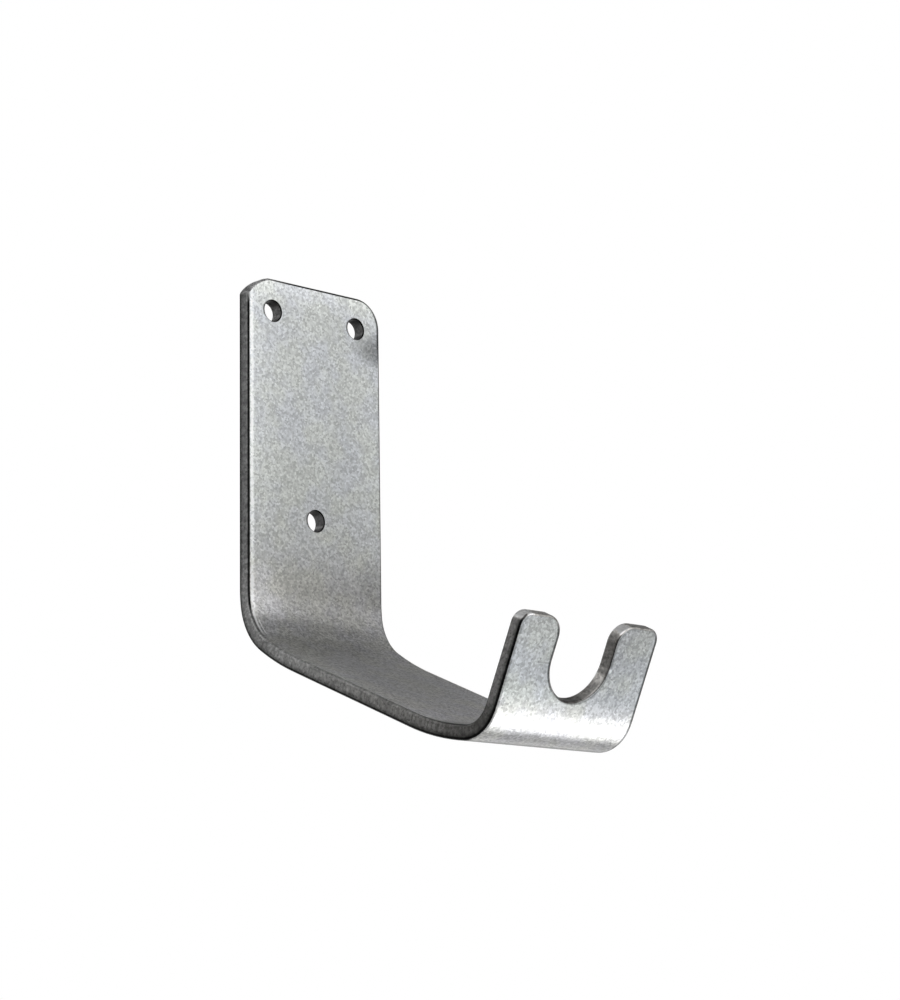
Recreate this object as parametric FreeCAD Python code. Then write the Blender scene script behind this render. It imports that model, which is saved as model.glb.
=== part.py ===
import FreeCAD, Part
import math
import os

# A wall hook folded from one length of flat steel bar. The plate lies on the wall, the upper bend
# brings the bar out and down, the lower bend turns its tip up again, and the tip is notched.
# Sizes are in millimetres and angles in degrees. The wall is the plane y = 0, the hook reaches
# towards -Y, and +Z is up. The origin lies on the wall, halfway between the two top screw holes.

# Flat bar
BAR_WIDTH = 50.8
BAR_THICKNESS = 4.2
EDGE_RADIUS = 0.9

# Back plate, from its top edge to the upper bend
PLATE_LENGTH = 91.8
PLATE_CORNER_RADIUS = 8.7

# The plate's left corner was cut off by a wider arc, which meets both edges at an angle
CUT_CORNER_DROP = 5.4
CUT_CORNER_RUN = 8.1
CUT_CORNER_RADIUS = 13.9
CUT_CORNER_KINK_RADIUS = 1.5

# Screw holes
SCREW_HOLE_DIAMETER = 6.2
SCREW_HOLE_CHAMFER = 0.3
TOP_HOLE_SPACING = 31.75
TOP_HOLE_INSET = 9.7
LOWER_HOLE_DROP = 60.3

# Upper bend: the press leaves a tight middle between two easier ends. Radii are on the inside.
UPPER_ENTRY_RADIUS = 35.4
UPPER_ENTRY_ANGLE = 7.0
UPPER_BEND_RADIUS = 15.6
UPPER_BEND_ANGLE = 49.9
UPPER_EXIT_RADIUS = 83.5
UPPER_EXIT_ANGLE = 10.3

# Arm between the bends
ARM_LENGTH = 51.5

# Lower bend, pressed in the same way
LOWER_ENTRY_RADIUS = 72.6
LOWER_ENTRY_ANGLE = 15.8
LOWER_BEND_RADIUS = 7.7
LOWER_BEND_ANGLE = 64.4
LOWER_EXIT_RADIUS = 18.0
LOWER_EXIT_ANGLE = 7.0

# Tip and its notch, open at the end with a half-round floor
TIP_LENGTH = 24.8
TIP_CORNER_RADIUS = 3.6
NOTCH_WIDTH = 20.9
NOTCH_DEPTH = 22.0
NOTCH_MOUTH_RADIUS = 5.4

# How far a cutter reaches past what it cuts, and how near two points count as one
CUT_OVERRUN = 5.0
TOLERANCE = 1e-4

Vec = FreeCAD.Vector
ACROSS = Vec(1, 0, 0)
UP = Vec(0, 0, 1)
OUT_OF_WALL = Vec(0, -1, 0)


def way_along(heading):
    """The way the bar runs when it has turned by a heading from straight down."""
    angle = math.radians(heading)
    return Vec(0, -math.sin(angle), -math.cos(angle))


def way_through(heading):
    """The way through the bar there, from its wall-side face to its front face."""
    angle = math.radians(heading)
    return Vec(0, -math.cos(angle), math.sin(angle))


class BarWalk:
    """Walks the bar's side view from the plate's top edge and keeps the edges of both its faces.

    The walk runs along the wall-side face. Every bend turns towards the front face, so that face
    is the inside of each bend.
    """

    def __init__(self, start):
        self.start = start
        self.point = start
        self.heading = 0.0
        self.wall_side = []
        self.front_side = []

    def straight(self, length):
        """Runs on without turning."""
        through = way_through(self.heading) * BAR_THICKNESS
        end = self.point + way_along(self.heading) * length
        self.wall_side.append(Part.LineSegment(self.point, end).toShape())
        self.front_side.append(Part.LineSegment(self.point + through, end + through).toShape())
        self.point = end

    def bend(self, inside_radius, angle):
        """Bends the bar by an angle, on an inside radius."""
        outside_radius = inside_radius + BAR_THICKNESS
        centre = self.point + way_through(self.heading) * outside_radius
        spokes = [way_through(self.heading + angle * share) for share in (0.0, 0.5, 1.0)]
        outer, inner = (
            [centre - spoke * radius for spoke in spokes]
            for radius in (outside_radius, inside_radius)
        )
        self.wall_side.append(Part.Arc(*outer).toShape())
        self.front_side.append(Part.Arc(*inner).toShape())
        self.point = outer[-1]
        self.heading += angle

    def side_view(self):
        """The closed side view of the bar walked so far, as a face."""
        top = Part.LineSegment(self.start, self.start + way_through(0.0) * BAR_THICKNESS)
        tip = Part.LineSegment(self.point, self.point + way_through(self.heading) * BAR_THICKNESS)
        edges = self.wall_side + self.front_side + [top.toShape(), tip.toShape()]
        return Part.Face(Part.Wire(Part.__sortEdges__(edges)))


def walk_bar():
    """Follows the bar from the plate's top edge to the tip's end."""
    walk = BarWalk(UP * TOP_HOLE_INSET)
    walk.straight(PLATE_LENGTH)
    walk.bend(UPPER_ENTRY_RADIUS, UPPER_ENTRY_ANGLE)
    walk.bend(UPPER_BEND_RADIUS, UPPER_BEND_ANGLE)
    walk.bend(UPPER_EXIT_RADIUS, UPPER_EXIT_ANGLE)
    walk.straight(ARM_LENGTH)
    walk.bend(LOWER_ENTRY_RADIUS, LOWER_ENTRY_ANGLE)
    walk.bend(LOWER_BEND_RADIUS, LOWER_BEND_ANGLE)
    walk.bend(LOWER_EXIT_RADIUS, LOWER_EXIT_ANGLE)
    walk.straight(TIP_LENGTH)
    return walk


def bent_bar(walk):
    """The side view drawn out across the bar's width."""
    bar = walk.side_view().extrude(ACROSS * BAR_WIDTH)
    bar.translate(ACROSS * (-BAR_WIDTH / 2))
    return bar


def round_corners(bar, corners, radius):
    """Rounds the bar's outline at corners, given as points of its wall-side face."""
    def is_corner(edge):
        if abs(edge.Length - BAR_THICKNESS) > TOLERANCE:
            return False
        ends = [vertex.Point for vertex in edge.Vertexes]
        return any(end.distanceToPoint(corner) < TOLERANCE for end in ends for corner in corners)

    return bar.makeFillet(radius, [edge for edge in bar.Edges if is_corner(edge)])


def cut_left_corner(bar, top):
    """Cuts the plate's left corner off along an arc and eases the two kinks this leaves."""
    corner = top - ACROSS * (BAR_WIDTH / 2)
    low, high = corner - UP * CUT_CORNER_DROP, corner + ACROSS * CUT_CORNER_RUN
    chord = high - low
    to_corner = OUT_OF_WALL.cross(chord).normalize()
    off_chord = math.sqrt(CUT_CORNER_RADIUS ** 2 - (chord.Length / 2) ** 2)
    arc_middle = (low + high) / 2 + to_corner * (CUT_CORNER_RADIUS - off_chord)
    outside = [high, high + UP * CUT_OVERRUN, corner + (UP - ACROSS) * CUT_OVERRUN,
               low - ACROSS * CUT_OVERRUN, low]
    edges = [Part.Arc(low, arc_middle, high).toShape()]
    edges += [Part.LineSegment(*ends).toShape() for ends in zip(outside, outside[1:])]
    cutter = Part.Face(Part.Wire(edges)).extrude(OUT_OF_WALL * (BAR_THICKNESS + 2 * CUT_OVERRUN))
    cutter.translate(OUT_OF_WALL * -CUT_OVERRUN)
    return round_corners(bar.cut(cutter), [low, high], CUT_CORNER_KINK_RADIUS)


def screw_holes():
    """Cutters for the round holes: two side by side above and one on the centre line below."""
    radius = SCREW_HOLE_DIAMETER / 2
    length = BAR_THICKNESS + 2 * CUT_OVERRUN
    centres = [
        ACROSS * (-TOP_HOLE_SPACING / 2),
        ACROSS * (TOP_HOLE_SPACING / 2),
        UP * -LOWER_HOLE_DROP,
    ]
    return [
        Part.makeCylinder(radius, length, centre - OUT_OF_WALL * CUT_OVERRUN, OUT_OF_WALL)
        for centre in centres
    ]


def notch_outline():
    """The notch seen square to the tip, with x across it and y = 0 at the tip's end."""
    half = NOTCH_WIDTH / 2
    mouth = half + NOTCH_MOUTH_RADIUS
    floor_centre = half - NOTCH_DEPTH
    arc_middle = NOTCH_MOUTH_RADIUS * (1 - math.sqrt(0.5))
    curves = [
        Part.Arc(Vec(-half, floor_centre), Vec(0, -NOTCH_DEPTH), Vec(half, floor_centre)),
        Part.LineSegment(Vec(-mouth, CUT_OVERRUN), Vec(mouth, CUT_OVERRUN)),
    ]
    for side in (-1, 1):
        top = Vec(side * mouth, 0)
        bottom = Vec(side * half, -NOTCH_MOUTH_RADIUS)
        curves.append(Part.LineSegment(Vec(side * mouth, CUT_OVERRUN), top))
        curves.append(Part.Arc(top, Vec(side * (half + arc_middle), -arc_middle), bottom))
        curves.append(Part.LineSegment(bottom, Vec(side * half, floor_centre)))
    edges = Part.__sortEdges__([curve.toShape() for curve in curves])
    return Part.Face(Part.Wire(edges))


def notch_cutter(walk):
    """The notch drawn through the tip, square to its faces."""
    cutter = notch_outline().extrude(UP * (BAR_THICKNESS + 2 * CUT_OVERRUN))
    cutter.translate(UP * (-BAR_THICKNESS - CUT_OVERRUN))
    lean = FreeCAD.Rotation(ACROSS, -90 - walk.heading)
    cutter.Placement = FreeCAD.Placement(walk.point, lean).multiply(cutter.Placement)
    return cutter


def face_normal(face, point):
    """A face's normal at a point that lies on it."""
    return face.normalAt(*face.Surface.parameter(point))


def square_edges(solid):
    """The edges where two faces meet squarely, as (rims of round holes, all others)."""
    rims, others = [], []
    for edge in solid.Edges:
        middle = edge.valueAt((edge.FirstParameter + edge.LastParameter) / 2)
        normals = [face_normal(face, middle) for face in solid.ancestorsOfType(edge, Part.Face)]
        if len(normals) < 2 or abs(normals[0].dot(normals[1])) > TOLERANCE:
            continue
        is_rim = isinstance(edge.Curve, Part.Circle) and edge.isClosed()
        (rims if is_rim else others).append(edge)
    return rims, others


def soften_edges(hook):
    """Rounds the outline of both faces and breaks the rims of the screw holes."""
    _, outline = square_edges(hook)
    hook = hook.makeFillet(EDGE_RADIUS, outline)
    rims, _ = square_edges(hook)
    return hook.makeChamfer(SCREW_HOLE_CHAMFER, rims)


def make_hook():
    """The finished hook as one solid."""
    walk = walk_bar()
    side = ACROSS * (BAR_WIDTH / 2)
    hook = bent_bar(walk)
    hook = round_corners(hook, [walk.start + side], PLATE_CORNER_RADIUS)
    hook = cut_left_corner(hook, walk.start)
    hook = round_corners(hook, [walk.point - side, walk.point + side], TIP_CORNER_RADIUS)
    hook = hook.cut(screw_holes() + [notch_cutter(walk)])
    return soften_edges(hook).Solids[0]


os.makedirs("parts", exist_ok=True)
hook = make_hook()
hook.exportStep("parts/hook.step")
box = hook.optimalBoundingBox()
print("hook valid", hook.isValid(), "faces", len(hook.Faces), "volume", round(hook.Volume, 1))
print("size", round(box.XLength, 2), round(box.YLength, 2), round(box.ZLength, 2))
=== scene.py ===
"""Looks of a wall hook: one flat steel bar, punched, folded twice on a press and zinc plated.

The bar is built as the workshop makes it. A flat blank gets its holes and its notch, its edges
are rounded, and the blank is folded along the same runs and bends as the CAD part. Blank sizes
are in millimetres and degrees; Blender objects are in metres, in the CAD frame.
"""

import logging
import math
from collections.abc import Iterable, Sequence
from dataclasses import dataclass, field
from enum import Enum

import bmesh
import bpy
from mathutils import Matrix, Vector
from mathutils.geometry import delaunay_2d_cdt


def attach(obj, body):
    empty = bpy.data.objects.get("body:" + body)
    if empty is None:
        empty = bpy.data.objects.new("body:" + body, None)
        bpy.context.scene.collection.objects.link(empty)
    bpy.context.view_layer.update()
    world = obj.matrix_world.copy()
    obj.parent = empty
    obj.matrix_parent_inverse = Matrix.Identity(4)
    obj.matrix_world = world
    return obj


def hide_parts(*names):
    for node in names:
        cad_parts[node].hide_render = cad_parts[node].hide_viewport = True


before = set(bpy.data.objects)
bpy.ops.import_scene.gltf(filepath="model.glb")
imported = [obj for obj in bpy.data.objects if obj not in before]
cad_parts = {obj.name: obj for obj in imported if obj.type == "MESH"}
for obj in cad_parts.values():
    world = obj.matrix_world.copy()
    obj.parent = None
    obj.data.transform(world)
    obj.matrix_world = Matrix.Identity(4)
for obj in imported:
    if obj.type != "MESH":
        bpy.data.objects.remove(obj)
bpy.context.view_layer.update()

LOG = logging.getLogger("hook")
MM = 0.001
ACROSS = Vector((1.0, 0.0, 0.0))
WHITE = (1.0, 1.0, 1.0, 1.0)

# How near two points of the blank count as one, in millimetres, and the decimals of a
# millimetre that tell two vertices apart
SAME_POINT = 1e-4
VERTEX_DECIMALS = 3
# The values between which nearly all of the noise lies
NOISE_SPAN = (0.3, 0.7)
# How far off a broad face its own tones and marks begin and end to fade, in millimetres
FACE_FADE = (0.1, 1.0)
# The share of the bar's half width that counts as its middle, and of a mark's reach as its core
MIDDLE_SHARE = 0.9
MARK_CORE = 0.3
# A colour Mix node's inputs, by number, since Blender gives several inputs the same name
SHARE, FROM, TO = 0, 6, 7

Node = bpy.types.Node
Socket = bpy.types.NodeSocket
# What feeds a node's input: a value, a socket, or a node whose first output in use is meant
Feed = float | tuple[float, ...] | Socket | Node
# A point of the blank or a way on it, across the bar and along it
Point = tuple[float, float]
# The first and the last value of a range
Span = tuple[float, float]
# Places in millimetres, each with its colour
Tones = tuple[tuple[float, str], ...]


def linear_colour(code: str) -> tuple[float, float, float, float]:
    """Turns an sRGB hex colour into Blender's linear RGBA.

    Args:
        code: Six hex digits, with or without a leading #.

    Returns:
        Red, green, blue and an alpha of 1.
    """
    def channel(pair: str) -> float:
        """Turns one channel's two hex digits into its linear value."""
        value = int(pair, 16) / 255
        return value / 12.92 if value <= 0.04045 else ((value + 0.055) / 1.055) ** 2.4

    digits = code.lstrip("#")
    red, green, blue = (channel(digits[i:i + 2]) for i in (0, 2, 4))
    return red, green, blue, 1.0


def add_node(tree: bpy.types.NodeTree, kind: str, inputs: dict[str | int, Feed] | None = None,
             **settings: object) -> Node:
    """Adds a node with its settings, its values and its links.

    Args:
        tree: The node tree that takes the node.
        kind: The node's type, such as ShaderNodeMath.
        inputs: What feeds the node's inputs, which go by name or number.
        settings: The node's own properties, such as operation.

    Returns:
        The new node.
    """
    node = tree.nodes.new(kind)
    for name, value in settings.items():
        setattr(node, name, value)
    for name, value in (inputs or {}).items():
        if isinstance(value, Node):
            value = next(output for output in value.outputs if output.enabled)
        if isinstance(value, Socket):
            tree.links.new(value, node.inputs[name])
        else:
            node.inputs[name].default_value = value
    return node


def empty_tree(owner: bpy.types.Material | bpy.types.World) -> bpy.types.NodeTree:
    """Gives a material or a world a node tree without nodes.

    Args:
        owner: The material or the world.

    Returns:
        The node tree.
    """
    owner.use_nodes = True
    owner.node_tree.nodes.clear()
    return owner.node_tree


class Side(Enum):
    """The two broad faces of the bar."""

    WALL = "wall"
    FRONT = "front"


@dataclass(frozen=True)
class Place:
    """A station of the folded bar: a point of its wall-side face, and the heading there in
    radians from straight down."""

    point: Vector
    heading: float

    @property
    def along(self) -> Vector:
        """The way that the bar runs."""
        return Vector((0.0, -math.sin(self.heading), -math.cos(self.heading)))

    @property
    def through(self) -> Vector:
        """The way from the wall-side face to the front face."""
        return Vector((0.0, -math.cos(self.heading), math.sin(self.heading)))

    def after(self, length: float, curvature: float) -> "Place":
        """Follows the bar on from here.

        Args:
            length: How far to go along the wall-side face.
            curvature: The curvature on the way, per millimetre.

        Returns:
            The place reached.
        """
        if curvature == 0.0:
            return Place(self.point + self.along * length, self.heading)
        centre = self.point + self.through / curvature
        turned = Place(self.point, self.heading + length * curvature)
        return Place(centre - turned.through / curvature, turned.heading)


@dataclass(frozen=True)
class Run:
    """One stretch of the bar: its length on the wall-side face and how far it turns, in radians."""

    length: float
    turn: float = 0.0


@dataclass
class BarPath:
    """The folded bar's side view, as runs in order from the plate's top edge."""

    start: Vector
    runs: Sequence[Run]

    @property
    def length(self) -> float:
        """The bar's whole length on its wall-side face."""
        return sum(run.length for run in self.runs)

    def place(self, station: float) -> Place:
        """Finds a station on the bar.

        Args:
            station: The length along the wall-side face from the plate's top edge.

        Returns:
            The place of that station.
        """
        here = Place(self.start, 0.0)
        left = station
        for run in self.runs:
            step = left if run is self.runs[-1] else min(left, run.length)
            here = here.after(step, run.turn / run.length)
            left -= step
            if left < SAME_POINT:
                break
        return here


@dataclass(frozen=True)
class RimPoint:
    """A point of an outline on the flat blank, with the normal that leaves the metal there."""

    across: float
    station: float
    normal: Point

    def inset(self, depth: float) -> Point:
        """The point that lies a depth inside the metal."""
        return self.across - self.normal[0] * depth, self.station - self.normal[1] * depth

    def mirrored(self) -> "RimPoint":
        """The same point on the bar's other half."""
        return RimPoint(-self.across, self.station, (-self.normal[0], self.normal[1]))


@dataclass(frozen=True)
class RimRing:
    """One ring of the rounded edge: its inset, its height over the wall-side face, and the tilt
    of its normal, from 0 on the front face over 90 on the edge to 180 on the wall-side face."""

    inset: float
    height: float
    tilt: float


@dataclass
class FoldedHook:
    """The hook: a punched blank of flat bar, folded into a plate, an arm and a forked tip."""

    # Flat bar
    width: float = 50.8
    thickness: float = 4.2
    edge_radius: float = 0.9

    # Plate with its left corner cut off by a wider arc, and its screw holes
    plate_length: float = 91.8
    plate_corner: float = 8.7
    cut_corner_drop: float = 5.4
    cut_corner_run: float = 8.1
    cut_corner_radius: float = 13.9
    cut_corner_kink: float = 1.5
    hole_diameter: float = 6.2
    hole_rim: float = 0.3
    hole_spacing: float = 31.75
    hole_inset: float = 9.7
    lower_hole_drop: float = 60.3

    # Bends, each as inside radii with their angles, and the arm between them
    upper_bend: tuple[tuple[float, float], ...] = ((35.4, 7.0), (15.6, 49.9), (83.5, 10.3))
    arm_length: float = 51.5
    lower_bend: tuple[tuple[float, float], ...] = ((72.6, 15.8), (7.7, 64.4), (18.0, 7.0))

    # Tip and its notch
    tip_length: float = 24.8
    tip_corner: float = 3.6
    notch_width: float = 20.9
    notch_depth: float = 22.0
    notch_mouth: float = 5.4

    # Mesh: the steps of a rounded edge, and the longest step and turn of an outline's arcs
    rim_steps: int = 5
    arc_step: float = 0.8
    arc_turn: float = 7.5
    # The folded stretch: the longest turn and step along it, and its columns' insets
    finest_turn: float = 1.8
    longest_step: float = 2.6
    column_insets: tuple[float, ...] = (
        0.0, 1.2, 2.2, 3.6, 5.4, 7.8, 10.8, 14.2, 17.8, 21.4, 24.9)
    # The flat ends: a band along each rim, and points that fill the rest, clear of the band
    rim_band: float = 1.2
    fill_step: float = 3.4
    fill_gap_share: float = 0.4
    piece_name: str = "folded_hook"

    path: BarPath = field(init=False)

    def __post_init__(self) -> None:
        """Lays out the bar's runs."""
        runs = [Run(self.plate_length)]
        runs += [self._bend(*sizes) for sizes in self.upper_bend]
        runs += [Run(self.arm_length)]
        runs += [self._bend(*sizes) for sizes in self.lower_bend]
        runs += [Run(self.tip_length)]
        self.path = BarPath(Vector((0.0, 0.0, self.hole_inset)), runs)

    def _bend(self, inside_radius: float, angle: float) -> Run:
        """A run that turns by an angle in degrees on an inside radius."""
        turn = math.radians(angle)
        return Run((inside_radius + self.thickness) * turn, turn)

    @property
    def tip_start(self) -> float:
        """The station where the lower bend ends and the flat tip begins."""
        return self.path.length - self.tip_length

    def stations(self) -> list[float]:
        """Divides the folded stretch, with short steps where the bar turns.

        Returns:
            The stations from the plate's end to the tip's start.
        """
        found = [self.plate_length]
        for run in self.path.runs[1:-1]:
            by_turn = math.degrees(run.turn) / self.finest_turn
            steps = math.ceil(max(by_turn, run.length / self.longest_step))
            start = found[-1]
            found += [start + run.length * step / steps for step in range(1, steps + 1)]
        return found

    def columns(self) -> list[float]:
        """The places across the bar where its folded stretch is divided."""
        reach = self.width / 2 - self.edge_radius
        return sorted({side * (reach - inset) for side in (-1, 1) for inset in self.column_insets})

    def outline(self) -> list[RimPoint]:
        """Follows the blank's outer outline once round.

        Returns:
            The outline's points, from the plate's left corner on.
        """
        half, end = self.width / 2, self.path.length
        fork, mouth = self.notch_width / 2, self.notch_width / 2 + self.notch_mouth
        floor = end - self.notch_depth + fork
        corner, tip = self.plate_corner, self.tip_corner
        cut = self._cut_corner()
        points = list(cut)
        points += self._line((cut[-1].across, 0.0), (half - corner, 0.0), (0.0, -1.0))
        points += self._arc((half - corner, corner), corner, 270, 360)
        points += self._long_side(half, corner)
        prong = self._arc((half - tip, end - tip), tip, 0, 90)
        prong += self._line((half - tip, end), (mouth, end), (0.0, 1.0))
        prong += self._arc((mouth, end - self.notch_mouth), self.notch_mouth, 90, 180)
        prong += self._line((fork, end - self.notch_mouth), (fork, floor), (-1.0, 0.0))
        points += prong
        points += self._arc((0.0, floor), -fork, 180, 0)
        points += [point.mirrored() for point in reversed(prong)]
        points += reversed(self._long_side(-half, cut[0].station))
        return self._each_once(points)

    def _cut_corner(self) -> list[RimPoint]:
        """Rounds the plate's left corner by a wide arc that meets both edges at an eased kink.

        Returns:
            The corner's points.
        """
        half, radius, kink = self.width / 2, self.cut_corner_radius, self.cut_corner_kink
        low = Vector((-half, self.cut_corner_drop))
        high = Vector((self.cut_corner_run - half, 0.0))
        chord = high - low
        inward = Vector((-chord.y, chord.x)).normalized()
        centre = (low + high) / 2 + inward * math.sqrt(radius ** 2 - (chord.length / 2) ** 2)
        off_side, off_top = centre.x + half - kink, centre.y - kink
        rise = math.sqrt((radius - kink) ** 2 - off_side ** 2)
        run = math.sqrt((radius - kink) ** 2 - off_top ** 2)
        first = 180 + math.degrees(math.atan2(rise, off_side))
        last = 180 + math.degrees(math.atan2(off_top, run))
        points = self._arc((kink - half, centre.y - rise), kink, 180, first)
        points += self._arc((centre.x, centre.y), radius, first, last)
        points += self._arc((centre.x - run, kink), kink, last, 270)
        return points

    def hole_outlines(self) -> list[list[RimPoint]]:
        """Follows each screw hole once round: two side by side above and one below.

        Returns:
            The holes' outlines.
        """
        top, side = self.hole_inset, self.hole_spacing / 2
        centres = ((-side, top), (side, top), (0.0, top + self.lower_hole_drop))
        return [self._each_once(self._arc(centre, -self.hole_diameter / 2, 0, 360))
                for centre in centres]

    def _arc(self, centre: Point, radius: float, start: float, end: float) -> list[RimPoint]:
        """Points on an arc of an outline.

        Args:
            centre: The arc's centre, as across and station.
            radius: The radius, below zero where the metal lies outside the arc.
            start: The angle of the first point's normal, 0 across the bar and 90 towards the tip.
            end: The same for the last point.

        Returns:
            The arc's points, both ends included.
        """
        turn = math.radians(end - start)
        steps = math.ceil(max(abs(turn * radius) / self.arc_step,
                              abs(end - start) / self.arc_turn))
        points = []
        for step in range(steps + 1):
            angle = math.radians(start) + turn * step / steps
            across, station = math.cos(angle), math.sin(angle)
            points.append(RimPoint(centre[0] + across * radius, centre[1] + station * radius,
                                   (across, station)))
        return points

    def _line(self, start: Point, end: Point, normal: Point) -> list[RimPoint]:
        """Points on a straight stretch of an outline.

        Args:
            start: Its first point.
            end: Its last point.
            normal: The normal that leaves the metal there.

        Returns:
            The points, both ends included.
        """
        steps = math.ceil(math.dist(start, end) / self.longest_step)
        return [
            RimPoint(start[0] + (end[0] - start[0]) * step / steps,
                     start[1] + (end[1] - start[1]) * step / steps, normal)
            for step in range(steps + 1)
        ]

    def _long_side(self, across: float, start: float) -> list[RimPoint]:
        """Points on a long edge of the blank, down to the tip's corner.

        Args:
            across: The edge's place across the bar.
            start: The station where it starts.

        Returns:
            The points, both ends included.
        """
        normal = (math.copysign(1.0, across), 0.0)
        end = self.path.length - self.tip_corner
        points = self._line((across, start), (across, self.plate_length), normal)
        points += [RimPoint(across, station, normal) for station in self.stations()]
        points += self._line((across, self.tip_start), (across, end), normal)
        return points

    @staticmethod
    def _each_once(points: Iterable[RimPoint]) -> list[RimPoint]:
        """Drops the points of a closed outline that repeat their neighbour.

        Args:
            points: The outline's points.

        Returns:
            The points that stay.
        """
        kept: list[RimPoint] = []
        for point in points:
            if kept and math.dist(kept[-1].inset(0.0), point.inset(0.0)) < SAME_POINT:
                continue
            kept.append(point)
        if math.dist(kept[0].inset(0.0), kept[-1].inset(0.0)) < SAME_POINT:
            kept.pop()
        return kept

    def _rim_rings(self, radius: float) -> list[RimRing]:
        """Rounds an edge on both faces.

        Args:
            radius: The rounding's radius.

        Returns:
            The edge's rings, from the front face to the wall-side face.
        """
        tilts = [90 * step / self.rim_steps for step in range(self.rim_steps + 1)]
        front = []
        for tilt in tilts:
            sine, cosine = math.sin(math.radians(tilt)), math.cos(math.radians(tilt))
            front.append(RimRing(radius * (1 - sine), self.thickness - radius * (1 - cosine),
                                 tilt))
        wall = [RimRing(ring.inset, self.thickness - ring.height, 180 - ring.tilt)
                for ring in reversed(front)]
        return front + [RimRing(0.0, self.thickness / 2, 90)] + wall

    def build(self) -> bpy.types.Object:
        """Makes the folded hook's mesh.

        Returns:
            The hook, in place in the CAD frame.
        """
        mesh = FoldedMesh(self)
        outline, holes = self.outline(), self.hole_outlines()
        mesh.add_rim(outline, self._rim_rings(self.edge_radius))
        for hole in holes:
            mesh.add_rim(hole, self._rim_rings(self.hole_rim))
        mesh.add_folded_faces()
        mesh.add_flat_end(FlatEnd(self, outline, holes, 0.0, self.plate_length))
        mesh.add_flat_end(FlatEnd(self, outline, [], self.tip_start, self.path.length))
        hook = mesh.finished(self.piece_name)
        LOG.info("%s: %d faces", hook.name, len(hook.data.polygons))
        return hook


@dataclass
class FlatEnd:
    """A flat end of the bar between two stations, divided around its holes and its notch."""

    bar: FoldedHook
    outline: Sequence[RimPoint]
    holes: Sequence[Sequence[RimPoint]]
    start: float
    end: float
    points: list[Point] = field(default_factory=list)
    fixed_edges: list[tuple[int, int]] = field(default_factory=list)
    loops: list[list[Point]] = field(init=False)

    def __post_init__(self) -> None:
        """Finds the outlines of the flat faces: the outer one, then the holes."""
        self.loops = [[point.inset(self.bar.edge_radius) for point in self.outline]]
        self.loops += [[point.inset(self.bar.hole_rim) for point in hole] for hole in self.holes]

    def triangles(self) -> list[list[Point]]:
        """Divides the end.

        Returns:
            The triangles, each as three points.
        """
        bar = self.bar
        for band in (0.0, bar.rim_band):
            self._add_loop(self.outline, bar.edge_radius + band)
        for band in (0.0, bar.rim_band):
            for hole in self.holes:
                self._add_loop(hole, bar.hole_rim + band)
        for station in (self.start, self.end):
            if bar.plate_length - SAME_POINT < station < bar.tip_start + SAME_POINT:
                first = len(self.points)
                self.points += [(across, station) for across in bar.columns()]
                self.fixed_edges += [(i, i + 1) for i in range(first, len(self.points) - 1)]
        self._fill()
        inside_fixed_edges = 1
        corners, _, faces, *_ = delaunay_2d_cdt(
            [Vector(point) for point in self.points], self.fixed_edges, [], inside_fixed_edges,
            SAME_POINT)
        found = []
        for face in faces:
            triangle = [tuple(corners[i]) for i in face]
            middle = tuple(sum(values) / len(face) for values in zip(*triangle))
            if self._is_metal(middle):
                found.append(triangle)
        return found

    def _add_loop(self, rim: Sequence[RimPoint], inset: float) -> None:
        """Adds the part of a loop that lies in this end, with its edges.

        Args:
            rim: The outline that the loop follows.
            inset: How far inside the metal it does.
        """
        numbers = []
        for point in rim:
            place = point.inset(inset)
            is_here = self.start - SAME_POINT <= place[1] <= self.end + SAME_POINT
            numbers.append(len(self.points) if is_here else None)
            if is_here:
                self.points.append(place)
        for edge in zip((numbers[-1], *numbers), numbers):
            if None not in edge:
                self.fixed_edges.append(edge)

    def _fill(self) -> None:
        """Adds points that are spread over the end, clear of its rims."""
        bar, step = self.bar, self.bar.fill_step
        clear = bar.rim_band + bar.fill_gap_share * step
        rims = [point for loop in self.loops for point in loop]
        half_count = int(bar.width / 2 / step)
        rows = max(1, round((self.end - self.start) / step))
        for row in range(1, rows):
            station = self.start + (self.end - self.start) * row / rows
            for column in range(-half_count, half_count + 1):
                point = ((column + 0.5 * (row % 2)) * step, station)
                if self._is_metal(point) and all(math.dist(point, rim) > clear for rim in rims):
                    self.points.append(point)

    def _is_metal(self, point: Point) -> bool:
        """Tells whether a point lies between the outer outline and the holes.

        Args:
            point: The point.

        Returns:
            Whether it does.
        """
        inside = False
        for loop in self.loops:
            for before, here in zip((loop[-1], *loop), loop):
                if (before[1] > point[1]) == (here[1] > point[1]):
                    continue
                share = (point[1] - before[1]) / (here[1] - before[1])
                if before[0] + (here[0] - before[0]) * share > point[0]:
                    inside = not inside
        return inside


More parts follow.
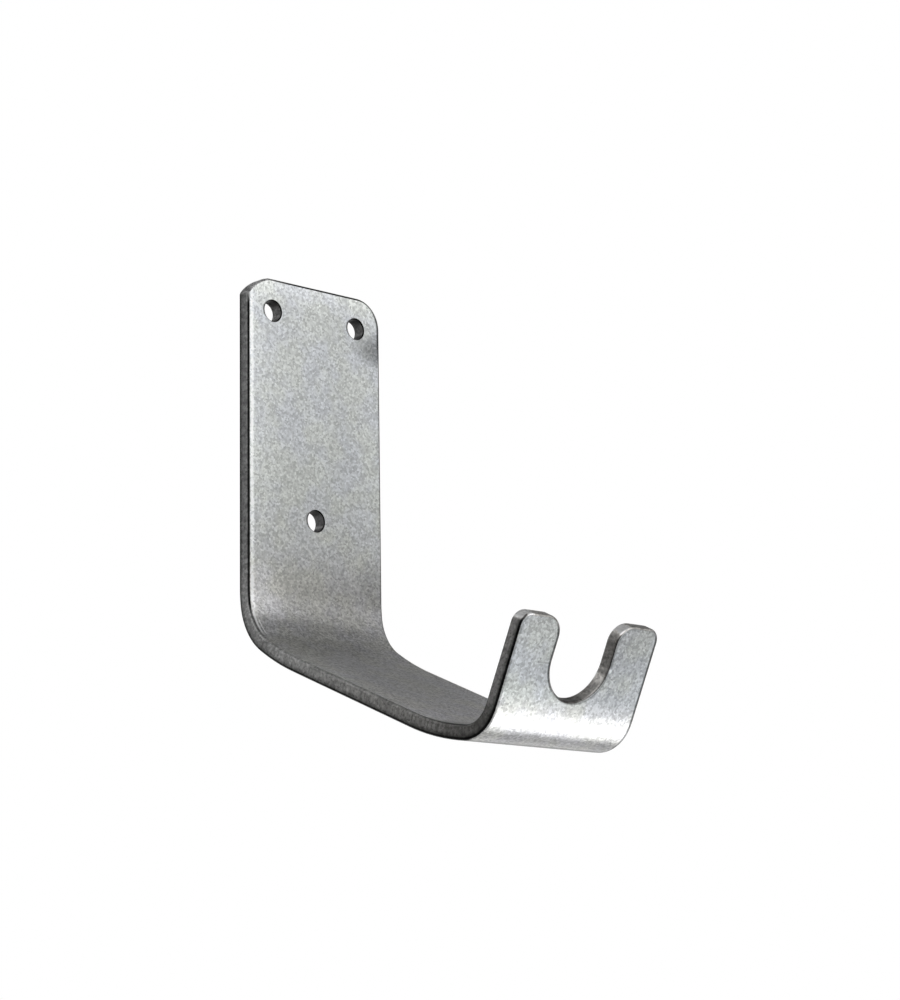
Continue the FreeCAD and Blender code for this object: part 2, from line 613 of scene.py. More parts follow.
class FoldedMesh:
    """Collects the hook's surface on the flat blank and folds each vertex into place."""

    def __init__(self, bar: FoldedHook) -> None:
        """Starts an empty mesh.

        Its blank rows are each vertex's place on the flat blank, in metres. Its edge rows are how
        far the surface faces right, how far the rim that it belongs to does, and how far it leans
        off the broad faces.

        Args:
            bar: The bar that is folded.
        """
        self.bar = bar
        self.index: dict[tuple[float, ...], int] = {}
        self.points: list[Vector] = []
        self.normals: list[Vector] = []
        self.blank: list[tuple[float, float, float]] = []
        self.edge: list[tuple[float, float, float]] = []
        self.faces: list[tuple[int, ...]] = []

    def vertex(self, across: float, station: float, height: float, tilt: float,
               rim_normal: Point = (0.0, 0.0)) -> int:
        """Finds or adds the folded vertex of a point of the blank.

        Args:
            across: Its place across the bar.
            station: Its length along the bar.
            height: Its height over the wall-side face.
            tilt: How far its normal leans from the front face over the edge, in degrees.
            rim_normal: The outline's normal there, for a vertex on an edge.

        Returns:
            The vertex's number.
        """
        key = tuple(round(size, VERTEX_DECIMALS) for size in (across, station, height))
        if key not in self.index:
            self.index[key] = len(self.points)
            place = self.bar.path.place(station)
            lean = math.radians(tilt)
            off_faces = math.sin(lean)
            rim = ACROSS * rim_normal[0] + place.along * rim_normal[1]
            self.points.append((ACROSS * across + place.point + place.through * height) * MM)
            self.normals.append(place.through * math.cos(lean) + rim * off_faces)
            self.blank.append((across * MM, station * MM, height * MM))
            self.edge.append((rim_normal[0] * off_faces, rim_normal[0], off_faces))
        return self.index[key]

    def add_rim(self, outline: Sequence[RimPoint], rings: Sequence[RimRing]) -> None:
        """Adds the rounded edge that follows an outline.

        Args:
            outline: The closed outline's points.
            rings: The edge's rings, from the front face to the wall-side face.
        """
        loops = [
            [self.vertex(*point.inset(ring.inset), ring.height, ring.tilt, point.normal)
             for point in outline]
            for ring in rings
        ]
        for upper, lower in zip(loops, loops[1:]):
            for here in range(len(outline)):
                before = here - 1
                self.faces.append((upper[before], upper[here], lower[here], lower[before]))

    def _face_vertex(self, across: float, station: float, side: Side) -> int:
        """The number of the vertex at a point on one of the broad faces."""
        height, tilt = (self.bar.thickness, 0) if side is Side.FRONT else (0.0, 180)
        return self.vertex(across, station, height, tilt)

    def add_folded_faces(self) -> None:
        """Adds both broad faces between the plate and the tip."""
        columns = self.bar.columns()
        for side in Side:
            rows = [[self._face_vertex(across, station, side) for across in columns]
                    for station in self.bar.stations()]
            for row, next_row in zip(rows, rows[1:]):
                for left in range(len(columns) - 1):
                    self.faces.append((row[left], row[left + 1], next_row[left + 1],
                                       next_row[left]))

    def add_flat_end(self, end: FlatEnd) -> None:
        """Adds both broad faces of a flat end of the bar.

        Args:
            end: The end.
        """
        triangles = end.triangles()
        for side in Side:
            for triangle in triangles:
                self.faces.append(tuple(self._face_vertex(*corner, side) for corner in triangle))

    def finished(self, name: str) -> bpy.types.Object:
        """Makes the Blender object.

        Args:
            name: The object's name.

        Returns:
            The object, with the folded surface and what its finish reads.
        """
        mesh = bpy.data.meshes.new(name)
        mesh.from_pydata(self.points, [], self.faces)
        mesh.validate()
        surface = bmesh.new()
        surface.from_mesh(mesh)
        bmesh.ops.recalc_face_normals(surface, faces=surface.faces)
        surface.to_mesh(mesh)
        surface.free()
        for attribute, rows in (("blank", self.blank), ("edge", self.edge)):
            made = mesh.attributes.new(attribute, "FLOAT_VECTOR", "POINT")
            made.data.foreach_set("vector", [value for row in rows for value in row])
        mesh.shade_smooth()
        mesh.normals_split_custom_set_from_vertices(self.normals)
        hook = bpy.data.objects.new(name, mesh)
        bpy.context.scene.collection.objects.link(hook)
        return hook


@dataclass(frozen=True)
class Mark:
    """A brighter or darker spot, for painted highlights, glints and shade and for a few small spots
    of the
    zinc: its middle on the blank, its reach across and along the bar, all in millimetres, and how
    much brighter the colour is there."""

    across: float
    station: float
    reach_across: float
    reach_along: float
    gain: float


@dataclass(frozen=True)
class Cloud:
    """Cloudy noise: the size of a cloud across, along and through the bar in millimetres, the
    layers of finer noise on it, and how strong those are."""

    sizes: tuple[float, float, float]
    detail: float
    roughness: float = 0.5


class BlankNodes:
    """A material's nodes, with the patterns that a finish lays out on the flat blank.

    A pattern is a node that gives a colour or a number. Its sizes are in millimetres.
    """

    def __init__(self, name: str, bar: FoldedHook) -> None:
        """Starts a material and finds each point's place on the blank.

        Args:
            name: The material's name.
            bar: The bar that is folded from the blank.
        """
        self.material = bpy.data.materials.new(name)
        self.tree = empty_tree(self.material)
        self.bar = bar
        self.blank, edge = (
            self.add("ShaderNodeAttribute", attribute_name=attribute).outputs["Vector"]
            for attribute in ("blank", "edge"))
        self.across, self.station, self.height = self.add(
            "ShaderNodeSeparateXYZ", {0: self.blank}).outputs
        self.to_right, self.rim_to_right, self.off_faces = self.add(
            "ShaderNodeSeparateXYZ", {0: edge}).outputs

    def add(self, kind: str, inputs: dict[str | int, Feed] | None = None,
            **settings: object) -> Node:
        """Adds a node to the material, as add_node does."""
        return add_node(self.tree, kind, inputs, **settings)

    def layered(self, colour: Feed, *layers: tuple[Feed, Feed]) -> Node:
        """Multiplies layers over a colour.

        Args:
            colour: The colour below them.
            layers: For each layer the share of it that shows, and its factor.

        Returns:
            The colour with all layers.
        """
        for share, factor in layers:
            colour = self.add("ShaderNodeMix", {SHARE: share, FROM: colour, TO: factor},
                              data_type="RGBA", blend_type="MULTIPLY")
        return colour

    def along(self, tones: Tones) -> Node:
        """A colour that changes along the bar."""
        return self._ramp(self.station, self.bar.path.length, tones)

    def through(self, tones: Tones) -> Node:
        """A colour that changes from the wall-side face to the front face."""
        return self._ramp(self.height, self.bar.thickness, tones)

    def _ramp(self, place: Socket, length: float, tones: Tones) -> Node:
        """A colour that changes with a place.

        Args:
            place: The place, in metres.
            length: The last place, in millimetres.
            tones: The places where a colour is given, in millimetres, each with its colour.

        Returns:
            The colour.
        """
        share = self.add("ShaderNodeMath", {0: place, 1: length * MM}, operation="DIVIDE")
        ramp = self.add("ShaderNodeValToRGB", {0: share})
        stops = ramp.color_ramp.elements
        while len(stops) < len(tones):
            stops.new(0.5)
        for stop, (at, tone) in zip(stops, tones):
            stop.position = min(1.0, at / length)
            stop.color = linear_colour(tone)
        return ramp

    def cloud(self, cloud: Cloud) -> Node:
        """Noise in clouds.

        Args:
            cloud: The clouds.

        Returns:
            The noise, which nearly always lies in NOISE_SPAN.
        """
        scale = tuple(1 / (size * MM) for size in cloud.sizes)
        place = self.add("ShaderNodeVectorMath", {0: self.blank, 1: scale}, operation="MULTIPLY")
        return self.add("ShaderNodeTexNoise", {
            "Vector": place, "Scale": 1.0, "Detail": cloud.detail, "Roughness": cloud.roughness})

    def around(self, middle: float, spread: float, noise: Feed,
               span: Span = NOISE_SPAN) -> Node:
        """A number that noise moves to both sides of a middle.

        Args:
            middle: The middle.
            spread: How far it moves to each side.
            noise: The noise.
            span: The values of the noise that move it all the way.

        Returns:
            The number.
        """
        return self.add("ShaderNodeMapRange", {
            "Value": noise, "From Min": span[0], "From Max": span[1],
            "To Min": middle - spread, "To Max": middle + spread})

    def near(self, across: float, reach: float, gain: float) -> Node:
        """A brightening along a line of the bar.

        Args:
            across: The line's place across the bar.
            reach: How far it reaches to each side.
            gain: How much brighter the zinc is on the line.

        Returns:
            The factor for the colour, 1 away from the line.
        """
        away = self.add("ShaderNodeMath", {0: self.across, 1: across * MM}, operation="SUBTRACT")
        away = self.add("ShaderNodeMath", {0: away}, operation="ABSOLUTE")
        return self.add("ShaderNodeMapRange", {
            "Value": away, "From Max": reach * MM, "To Min": gain, "To Max": 1.0},
            interpolation_type="SMOOTHSTEP")

    def mark_gain(self, mark: Mark) -> Node:
        """How much brighter a mark makes the zinc.

        Args:
            mark: The mark.

        Returns:
            The factor for the colour, 1 outside the mark.
        """
        middle = (mark.across * MM, mark.station * MM, 0.0)
        scale = (1 / (mark.reach_across * MM), 1 / (mark.reach_along * MM), 0.0)
        away = self.add("ShaderNodeVectorMath", {0: self.blank, 1: middle}, operation="SUBTRACT")
        away = self.add("ShaderNodeVectorMath", {0: away, 1: scale}, operation="MULTIPLY")
        far = self.add("ShaderNodeVectorMath", {0: away}, operation="LENGTH")
        return self.add("ShaderNodeMapRange", {
            "Value": far, "From Min": MARK_CORE, "To Min": mark.gain, "To Max": 1.0},
            interpolation_type="SMOOTHSTEP")

    def is_side(self) -> Node:
        """1 close to the bar's long sides and 0 between them, where its holes are."""
        off_middle = self.add("ShaderNodeMath", {0: self.across}, operation="ABSOLUTE")
        return self.add("ShaderNodeMath", {
            0: off_middle, 1: MIDDLE_SHARE * self.bar.width / 2 * MM}, operation="GREATER_THAN")

    def wall_half(self) -> Node:
        """1 at the wall-side face, falling to 0 at the middle of the bar's thickness."""
        return self.add("ShaderNodeMapRange", {
            "Value": self.height, "From Max": self.bar.thickness / 2 * MM, "To Min": 1.0,
            "To Max": 0.0})

    def off_face(self, side: Side) -> Node:
        """How clear of one broad face a point is.

        Args:
            side: The face.

        Returns:
            0 on the face, rising to 1 a millimetre away from it.
        """
        face, way = (0.0, 1.0) if side is Side.WALL else (self.bar.thickness, -1.0)
        start, end = ((face + way * off) * MM for off in FACE_FADE)
        return self.add("ShaderNodeMapRange", {
            "Value": self.height, "From Min": start, "From Max": end})


@dataclass(frozen=True)
class ZincPlate:
    """Bright zinc plating on rolled steel, as it leaves the plating barrel.

    It gives the eye a pale satin grey with a fine crystal grain and faint lilac and green patches.
    The zinc is warmer beside the upper bend, with painted shade there, paler towards the long
    edges, and has a painted highlight line along the plate's left edge and a painted highlight band
    round the lower bend. The sheared sides are darker, with painted shade by the lower bend and
    painted dark lines beside the faces, and rims that turn to the right have a thin painted dark
    line beside them.
    A few painted glints, patches of painted shade and small spots sit on the faces and edges.
    """

    name: str = "zinc_plate"
    cool: str = "#fbfcfe"
    warm: str = "#fefffa"
    # Tones along the bar: of both broad faces, the sheared sides and the punched walls. They hold
    # painted light and shade: the front face is lighter at the plate's top, with painted shade
    # beside the upper bend and inside the lower bend; the wall-side face has a painted dark line
    # where the lower bend turns away, a painted highlight band round that bend and a darker tip;
    # the sheared sides are lighter along the arm, with painted shade by the lower bend; the punched
    # walls hold painted shade at the top and bottom of each hole and at the notch's floor, and a
    # painted highlight on the prongs' ends.
    front_tones: Tones = (
        (0.0, "#e8eaeb"), (8.0, "#c9cbcd"), (60.0, "#c4c6c7"), (78.0, "#c1c2c1"),
        (90.0, "#b2b1b0"), (98.0, "#a4a3a3"), (107.0, "#bfbebf"), (150.0, "#c8c7c8"),
        (186.0, "#e0dee0"), (198.0, "#8c8c8c"), (208.0, "#c4c6c7"))
    wall_tones: Tones = (
        (190.0, "#c4c6c7"), (199.5, "#585858"), (203.9, "#585858"), (205.3, "#cccbcc"),
        (207.0, "#c8c7c8"), (217.0, "#d0d0d1"), (222.0, "#b8bbbd"), (232.0, "#bec1c3"),
        (243.0, "#c4c6c9"))
    side_tones: Tones = (
        (96.0, "#9e9e9e"), (122.0, "#b8b8b7"), (165.0, "#a6a5a3"), (190.0, "#8b8a88"),
        (204.0, "#747371"), (214.0, "#747371"), (220.0, "#929190"), (230.0, "#9a9998"))
    punched_tones: Tones = (
        (5.8, "#9e9e9e"), (6.4, "#181818"), (6.8, "#181818"), (8.0, "#7c7c7c"), (11.6, "#7c7c7c"),
        (12.7, "#3c3c3c"), (67.1, "#181818"), (68.3, "#7c7c7c"), (71.9, "#7c7c7c"),
        (73.0, "#3c3c3c"), (221.4, "#5c5a58"), (222.6, "#b8b6b3"), (226.0, "#b8b6b3"),
        (232.0, "#a09e9b"), (238.0, "#94928f"), (243.0, "#c4c2be"))

    # Painted dark lines, painted reflections of dark surroundings on the rounded edges, by height
    # over the wall-side face, with their shares along the bar
    side_line: Tones = (
        (0.06, "#ffffff"), (0.16, "#282828"), (0.65, "#383838"), (0.95, "#b4b4b4"),
        (2.0, "#ffffff"))
    punched_line: Tones = ((0.0, "#6c6c6c"), (0.3, "#808080"), (0.5, "#ffffff"))
    plate_line: Tones = ((1.0, "#3c3c3c"), (1.2, "#ffffff"))
    plate_line_share: Tones = (
        (5.0, "#000000"), (7.0, "#ffffff"), (88.0, "#ffffff"), (100.0, "#000000"))
    front_line: Tones = ((3.75, "#ffffff"), (3.95, "#262626"))
    front_line_share: Tones = (
        (98.0, "#ffffff"), (116.0, "#202020"), (186.0, "#202020"), (200.0, "#ffffff"))
    # Facing right: what the long side keeps of the painted front line, and the painted dark tone of
    # an edge's wall half
    far_line_share: float = 0.4
    far_line: str = "#303030"
    # How far an edge faces left or right, from where that begins to count to where it does fully
    facing: Span = (0.1, 0.5)

    # How far off the faces an edge's look begins, and how far the wall side's look reaches onto
    # an edge that faces left or right, where the punch pulled the metal over
    edge_start: Span = (0.08, 0.22)
    burr_facing: Span = (-0.2, 0.2)
    near_burr: float = 0.5
    far_burr: float = 0.05

    # The thin painted dark line on the faces beside rims that turn to the right, and its share on
    # the long sides
    rim_gain: float = 0.2
    rim_facing: Span = (0.5, 0.85)
    rim_share: Tones = (
        (12.0, "#ffffff"), (20.0, "#484848"), (200.0, "#484848"), (216.0, "#ffffff"))

    # Paler zinc towards the long edges, with its reach as a share of the bar's half width, and the
    # painted highlight line along the plate's left edge
    edge_gain: float = 1.12
    edge_gain_reach: float = 0.65
    highlight_line_mm: float = -23.8
    highlight_line_reach_mm: float = 1.05
    highlight_line_gain: float = 1.7
    highlight_line_share: Tones = (
        (4.0, "#000000"), (9.0, "#ffffff"), (96.0, "#ffffff"), (104.0, "#000000"))

    # Grain and patches; a spread is how far noise moves a value to each side of its middle
    crystal_mm: float = 0.6
    crystal_spread: float = 0.34
    frost: Cloud = Cloud((0.9, 0.9, 0.9), 4.0, 0.65)
    frost_spread: float = 0.15
    grain_share: Tones = (
        (90.0, "#e7e7e7"), (115.0, "#ffffff"), (190.0, "#ffffff"), (206.0, "#ececec"))
    patches: Cloud = Cloud((9.0, 9.0, 9.0), 2.0)
    patch_span: Span = (0.4, 0.6)
    # Torn metal is streaked through the bar, from face to face
    tears: Cloud = Cloud((1.5, 1.5, 4.0), 3.0)
    tear_spread: float = 0.25
    # Fine relief and its height, and how rough the zinc is
    relief: Cloud = Cloud((0.6, 0.6, 0.6), 2.0)
    relief_mm: float = 0.012
    roughness: float = 0.35
    roughness_spread: float = 0.08

    # Where the painted dark front line is left off at the plate's cut corner, and brighter and
    # darker spots
    unlined_corner: Mark = Mark(-21.5, 1.8, 14.0, 7.5, 0.0)
    # Painted glints at the top corners of both prongs and on the cut corner's side, and a brighter
    # spot on the notch's curve
    edge_marks: tuple[Mark, ...] = (
        Mark(-23.6, 242.4, 2.6, 2.2, 9.0),
        Mark(12.6, 242.0, 2.6, 2.4, 4.0),
        Mark(-21.0, 2.2, 5.5, 4.2, 2.0),
        Mark(9.5, 228.4, 2.2, 1.8, 1.6),
    )
    # On the front face: painted light at the plate's lower left edge, painted highlight streaks on
    # the upper bend's left edge, a painted dark reflection at the plate's right edge near its top,
    # painted shade at its lower right, and two small bright spots
    front_marks: tuple[Mark, ...] = (
        Mark(-25.0, 94.0, 20.0, 13.0, 1.4),
        Mark(-24.1, 105.0, 0.45, 6.5, 3.0),
        Mark(-22.9, 107.0, 0.35, 5.5, 2.4),
        Mark(25.5, 15.5, 13.0, 6.5, 0.5),
        Mark(22.0, 87.0, 10.0, 10.0, 0.8),
        Mark(-7.5, 98.5, 1.6, 1.2, 1.25),
        Mark(-1.0, 95.5, 1.6, 1.2, 1.2),
    )
    # On the wall-side face: painted shade on the tip's right, a painted highlight that carries the
    # lower bend's band onto the tip's left, painted shade on the bend's right, and three small
    # spots
    wall_marks: tuple[Mark, ...] = (
        Mark(22.0, 232.0, 22.0, 22.0, 0.8),
        Mark(-14.0, 220.5, 18.0, 6.5, 1.2),
        Mark(27.0, 209.0, 20.0, 8.0, 0.78),
        Mark(10.9, 230.6, 0.9, 1.0, 2.2),
        Mark(-13.0, 230.8, 4.2, 0.35, 0.68),
        Mark(-24.4, 221.0, 0.6, 1.4, 1.8),
    )

    def material(self, bar: FoldedHook) -> bpy.types.Material:
        """Builds the finish's node tree.

        Args:
            bar: The bar that is plated.

        Returns:
            The material.
        """
        nodes = BlankNodes(self.name, bar)
        frost = nodes.cloud(self.frost)
        colour = nodes.add("ShaderNodeMix", {
            SHARE: self._on_edge(nodes), FROM: self._face_colour(nodes),
            TO: self._edge_colour(nodes)}, data_type="RGBA")
        layers = [(nodes.along(self.grain_share), self._grain(nodes, frost))]
        # Marks of painted light and shade, and a few small spots, on each face
        for unmarked_side, marks in ((Side.WALL, self.front_marks), (Side.FRONT, self.wall_marks)):
            share = nodes.off_face(unmarked_side)
            layers += [(share, nodes.mark_gain(mark)) for mark in marks]
        bump = nodes.add("ShaderNodeBump", {
            "Height": nodes.cloud(self.relief), "Distance": self.relief_mm * MM, "Strength": 1.0})
        shader = nodes.add("ShaderNodeBsdfPrincipled", {
            "Base Color": nodes.layered(colour, *layers), "Metallic": 1.0,
            "Roughness": nodes.around(self.roughness, self.roughness_spread, frost),
            "Normal": bump})
        nodes.add("ShaderNodeOutputMaterial", {"Surface": shader})
        return nodes.material

    def _grain(self, nodes: BlankNodes, frost: Node) -> Node:
        """The grain of the zinc: small crystals, and frosted spots over them.

        Real crystals are finer still; drawn at their true size they would not show at all.

        Args:
            nodes: The material's nodes.
            frost: The frost's noise.

        Returns:
            How bright the zinc is, about 1.
        """
        crystal = nodes.add("ShaderNodeTexVoronoi", {
            "Vector": nodes.blank, "Scale": 1 / (self.crystal_mm * MM)}).outputs["Color"]
        crystal = nodes.add("ShaderNodeSeparateXYZ", {0: crystal})
        return nodes.add("ShaderNodeMath", {
            0: nodes.around(1.0, self.crystal_spread, crystal, (0.0, 1.0)),
            1: nodes.around(1.0, self.frost_spread, frost)}, operation="MULTIPLY")

    def _on_edge(self, nodes: BlankNodes) -> Node:
        """Tells edges from faces.

        Args:
            nodes: The material's nodes.

        Returns:
            0 on the broad faces and 1 on the bar's edges and the insides of its holes.
        """
        burr = nodes.add("ShaderNodeMapRange", {
            "Value": nodes.to_right, "From Min": self.burr_facing[0],
            "From Max": self.burr_facing[1], "To Min": self.near_burr, "To Max": self.far_burr})
        burr = nodes.add("ShaderNodeMath", {0: burr, 1: nodes.wall_half()}, operation="MULTIPLY")
        off_faces = nodes.add("ShaderNodeMath", {0: nodes.off_faces, 1: burr},
                              operation="SUBTRACT")
        return nodes.add("ShaderNodeMapRange", {
            "Value": off_faces, "From Min": self.edge_start[0], "From Max": self.edge_start[1]},
            interpolation_type="SMOOTHSTEP")

    def _face_colour(self, nodes: BlankNodes) -> Node:
        """Colours the broad faces.

        Args:
            nodes: The material's nodes.

        Returns:
            The colour.
        """
        patch = nodes.add("ShaderNodeMapRange", {
            "Value": nodes.cloud(self.patches), "From Min": self.patch_span[0],
            "From Max": self.patch_span[1]})
        tint = nodes.add("ShaderNodeMix", {
            SHARE: patch, FROM: linear_colour(self.cool), TO: linear_colour(self.warm)},
            data_type="RGBA")
        off_wall_side = nodes.off_face(Side.WALL)
        # The tones along the bar paint light and shade on both faces
        tone = nodes.add("ShaderNodeMix", {
            SHARE: off_wall_side, FROM: nodes.along(self.wall_tones),
            TO: nodes.along(self.front_tones)}, data_type="RGBA")
        half = nodes.bar.width / 2
        paler = [(1.0, nodes.near(across, self.edge_gain_reach * half, self.edge_gain))
                 for across in (half, -half)]
        # The painted highlight line along the plate's left edge
        highlight_line = nodes.near(self.highlight_line_mm, self.highlight_line_reach_mm, self.highlight_line_gain)
        highlight_line_share = nodes.layered(nodes.along(self.highlight_line_share), (1.0, off_wall_side))
        # A thin painted dark line beside rims that turn to the right
        rim_line = nodes.add("ShaderNodeMapRange", {
            "Value": nodes.rim_to_right, "From Min": self.rim_facing[0],
            "From Max": self.rim_facing[1], "To Min": 1.0, "To Max": self.rim_gain},
            interpolation_type="SMOOTHSTEP")
        rim_share = nodes.layered(WHITE, (nodes.is_side(), nodes.along(self.rim_share)))
        return nodes.layered(tone, (1.0, tint), *paler, (highlight_line_share, highlight_line),
                             (rim_share, rim_line))

    def _edge_colour(self, nodes: BlankNodes) -> Node:
        """Colours the sheared sides, and the holes and the notch, which were punched.

        Args:
            nodes: The material's nodes.

        Returns:
            The colour.
        """
        is_side = nodes.is_side()
        # The tones paint shade along the sides and in the holes and the notch, and the lines are
        # painted dark lines on the rounded edges
        tone, wall_line = (
            nodes.add("ShaderNodeMix", {SHARE: is_side, FROM: punched, TO: sheared},
                      data_type="RGBA")
            for punched, sheared in (
                (nodes.along(self.punched_tones), nodes.along(self.side_tones)),
                (nodes.through(self.punched_line), nodes.through(self.side_line))))
        near, far = (
            nodes.add("ShaderNodeMapRange", {
                "Value": nodes.to_right, "From Min": way * self.facing[0],
                "From Max": way * self.facing[1]})
            for way in (-1, 1))
        near_side, far_side, far_wall = (
            nodes.add("ShaderNodeMath", {0: first, 1: second}, operation="MULTIPLY")
            for first, second in ((near, is_side), (far, is_side), (far, nodes.wall_half())))
        kept = nodes.add("ShaderNodeMapRange", {
            "Value": far_side, "To Min": 1.0, "To Max": self.far_line_share})
        front_share = nodes.layered(nodes.along(self.front_line_share), (1.0, kept),
                                    (1.0, nodes.mark_gain(self.unlined_corner)))
        plate_share = nodes.layered(nodes.along(self.plate_line_share), (1.0, near_side))
        # Painted glints, then painted dark lines beside the front face, beside the wall-side face
        # and on right-facing wall halves
        return nodes.layered(
            tone,
            *((1.0, nodes.mark_gain(mark)) for mark in self.edge_marks),
            (front_share, nodes.through(self.front_line)),
            (near, wall_line),
            (plate_share, nodes.through(self.plate_line)),
            (far_wall, linear_colour(self.far_line)),
            (1.0, nodes.around(1.0, self.tear_spread, nodes.cloud(self.tears))))


@dataclass(frozen=True)
class Matt:
    """A plain matt surface, such as painted board."""

    name: str
    colour: str

    def material(self) -> bpy.types.Material:
        """Builds the surface's node tree.

        Returns:
            The material.
        """
        made = bpy.data.materials.new(self.name)
        tree = empty_tree(made)
        shader = add_node(tree, "ShaderNodeBsdfDiffuse", {"Color": linear_colour(self.colour)})
        add_node(tree, "ShaderNodeOutputMaterial", {"Surface": shader})
        return made


@dataclass(frozen=True)
class Spot:
    """A place in the room as the hook sees it: the azimuth from +Y towards +X and the elevation,
    both in degrees, and the distance in metres."""

    azimuth: float
    elevation: float
    distance: float

    def place(self, target: Vector) -> Vector:
        """Finds the spot around a target.

        Args:
            target: The target's place.

        Returns:
            The spot's place.
        """
        azimuth, elevation = math.radians(self.azimuth), math.radians(self.elevation)
        level = math.cos(elevation)
        way = Vector((math.sin(azimuth) * level, math.cos(azimuth) * level, math.sin(elevation)))
        return target + way * self.distance


@dataclass(frozen=True)
class Card:
    """A plain card beside the set for the bare metal to mirror; the camera doesn't see it. Its
    size is its width and height in metres."""

    name: str
    spot: Spot
    size: tuple[float, float]
    colour: str


@dataclass(frozen=True)
class Lamp:
    """A soft square lamp that faces the hook, with its size in metres and its power in watts."""

    name: str
    spot: Spot
    size: float
    power: float


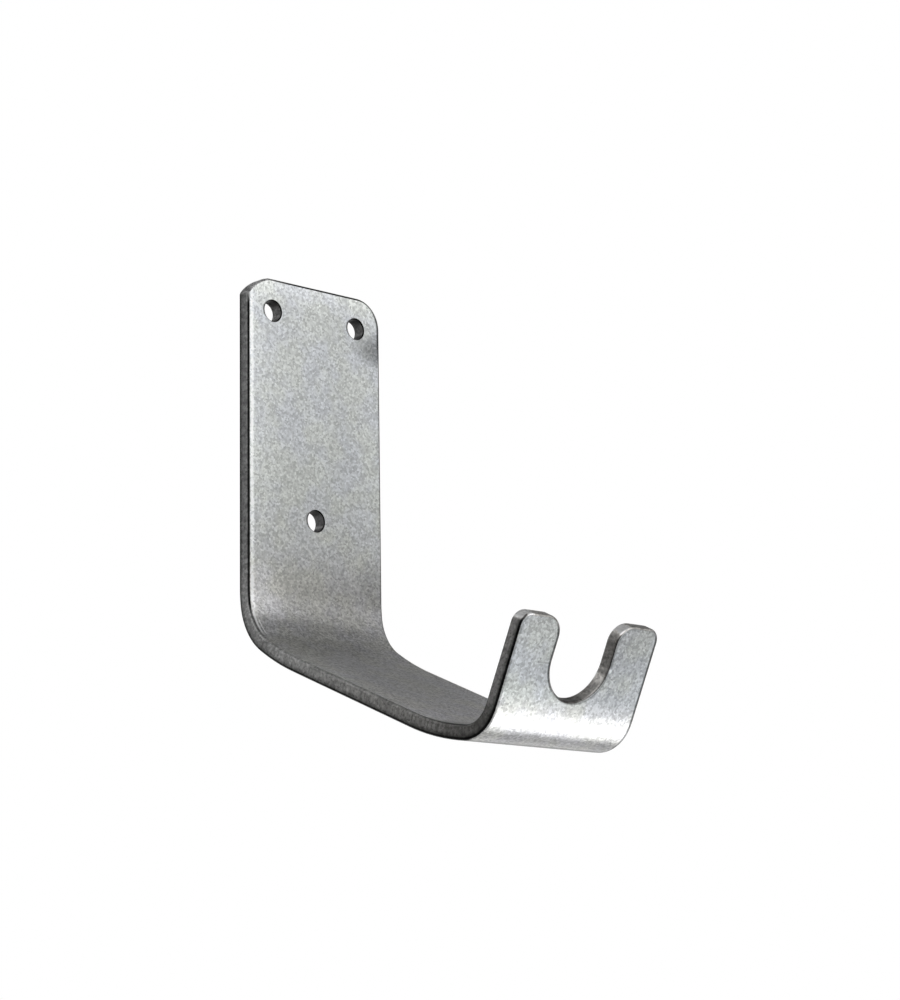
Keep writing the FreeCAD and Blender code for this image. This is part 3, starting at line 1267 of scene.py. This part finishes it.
@dataclass
class Studio:
    """A plain pale room with a floor, soft lamps, and cards for the bare metal to mirror. Sizes
    are in metres."""

    target: Vector = field(default_factory=lambda: Vector((0.0, -0.06, -0.06)))
    room_strength: float = 0.85
    floor_height: float = -0.45
    floor_size: float = 12.0
    cards: tuple[Card, ...] = (
        Card("card_arm", Spot(52, 22, 1.1), (1.5, 1.2), "#bebebe"),
        Card("card_behind", Spot(-8, 8, 1.2), (1.0, 0.9), "#303030"),
        Card("card_side", Spot(-56, 10, 1.1), (0.9, 1.1), "#ececec"),
        Card("card_left", Spot(-108, -4, 0.9), (0.8, 0.9), "#202020"),
        Card("card_above", Spot(60, 80, 0.9), (2.2, 1.5), "#d0d0d0"),
        Card("card_plate", Spot(140, 16, 1.3), (1.5, 0.9), "#d8d8d8"),
    )
    lamps: tuple[Lamp, ...] = (
        Lamp("key_lamp", Spot(147, 26, 0.5), 0.3, 0.26),
        Lamp("low_lamp", Spot(113.6, -45, 0.36), 0.18, 0.27),
        Lamp("lip_lamp", Spot(68, -33, 0.6), 0.6, 0.5),
        Lamp("edge_lamp", Spot(195, 12, 0.8), 0.12, 0.25),
    )

    def build(self) -> None:
        """Builds the floor, the cards, the lamps and the world."""
        self._world()
        self._floor()
        for card in self.cards:
            self._card(card)
        for lamp in self.lamps:
            self._lamp(lamp)

    def _world(self) -> None:
        """A pale room that lights the hook; the camera and the metal see it as plain white."""
        world = bpy.data.worlds.new("pale_room")
        bpy.context.scene.world = world
        tree = empty_tree(world)
        rays = add_node(tree, "ShaderNodeLightPath").outputs
        seen = add_node(tree, "ShaderNodeMath", {
            0: rays["Is Camera Ray"], 1: rays["Is Glossy Ray"]}, operation="MAXIMUM")
        strength = add_node(tree, "ShaderNodeMapRange", {
            "Value": seen, "To Min": self.room_strength, "To Max": 1.0})
        background = add_node(tree, "ShaderNodeBackground", {
            "Color": WHITE, "Strength": strength})
        add_node(tree, "ShaderNodeOutputWorld", {"Surface": background})

    def _sheet(self, name: str, width: float, height: float) -> bpy.types.Object:
        """Adds a flat rectangle that belongs to the set.

        Args:
            name: Its name.
            width: Its width in metres.
            height: Its height in metres.

        Returns:
            The rectangle, flat on the origin.
        """
        mesh = bpy.data.meshes.new(name)
        corners = [(x * width / 2, y * height / 2, 0.0)
                   for x, y in ((-1, -1), (1, -1), (1, 1), (-1, 1))]
        mesh.from_pydata(corners, [], [(0, 1, 2, 3)])
        sheet = bpy.data.objects.new(name, mesh)
        bpy.context.scene.collection.objects.link(sheet)
        return sheet

    def _floor(self) -> None:
        """A pale floor below the hook."""
        floor = self._sheet("floor", self.floor_size, self.floor_size)
        floor.location = (0.0, 0.0, self.floor_height)
        floor.data.materials.append(Matt("pale_floor", "#f4f4f4").material())

    def _face_target(self, thing: bpy.types.Object, spot: Spot, axis: str) -> None:
        """Puts a thing on a spot and turns it to the target, its top kept up.

        Args:
            thing: The card or lamp.
            spot: The spot.
            axis: The thing's axis that points to the target.
        """
        thing.location = spot.place(self.target)
        way = self.target - thing.location
        thing.rotation_euler = way.to_track_quat(axis, "Y").to_euler()

    def _card(self, card: Card) -> None:
        """Adds a card that faces the hook.

        Args:
            card: The card.
        """
        sheet = self._sheet(card.name, *card.size)
        self._face_target(sheet, card.spot, "Z")
        sheet.visible_camera = False
        sheet.data.materials.append(Matt(card.name, card.colour).material())

    def _lamp(self, lamp: Lamp) -> None:
        """Adds a lamp that faces the hook.

        Args:
            lamp: The lamp.
        """
        light = bpy.data.lights.new(lamp.name, "AREA")
        light.shape = "SQUARE"
        light.size = lamp.size
        light.energy = lamp.power
        holder = bpy.data.objects.new(lamp.name, light)
        self._face_target(holder, lamp.spot, "-Z")
        holder.visible_camera = False
        bpy.context.scene.collection.objects.link(holder)


@dataclass(frozen=True)
class PhotoCamera:
    """The photograph's camera, found by fitting the hook's own sizes to its outline.

    Its angles are in degrees: the yaw from +Y towards +X, the pitch upwards, and the roll. The
    sensor is in millimetres.
    """

    place_mm: tuple[float, float, float] = (-498.839, -591.019, -212.454)
    yaw: float = 43.256
    pitch: float = 11.591
    roll: float = -0.947
    focal_pixels: float = 2706.94
    frame_pixels: float = 1000.0
    sensor: float = 36.0

    def build(self) -> None:
        """Makes the camera and gives it to the scene."""
        yaw, pitch, roll = (math.radians(angle) for angle in (self.yaw, self.pitch, self.roll))
        turn = (Matrix.Rotation(-yaw, 4, "Z") @ Matrix.Rotation(math.pi / 2 + pitch, 4, "X")
                @ Matrix.Rotation(roll, 4, "Z"))
        lens = bpy.data.cameras.new("photo_camera")
        lens.sensor_width = self.sensor
        lens.lens = self.sensor * self.focal_pixels / self.frame_pixels
        camera = bpy.data.objects.new("photo_camera", lens)
        camera.matrix_world = Matrix.Translation(Vector(self.place_mm) * MM) @ turn
        bpy.context.scene.collection.objects.link(camera)
        bpy.context.scene.camera = camera


def main() -> None:
    """Builds the hook, the set and the camera, in order."""
    logging.basicConfig(level=logging.INFO, format="%(name)s: %(message)s")
    bpy.context.scene.view_settings.view_transform = "Standard"
    bar = FoldedHook()
    hook = bar.build()
    hook.data.materials.append(ZincPlate().material(bar))
    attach(hook, "root")
    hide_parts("hook")
    Studio().build()
    PhotoCamera().build()


if __name__ == "__main__":
    main()
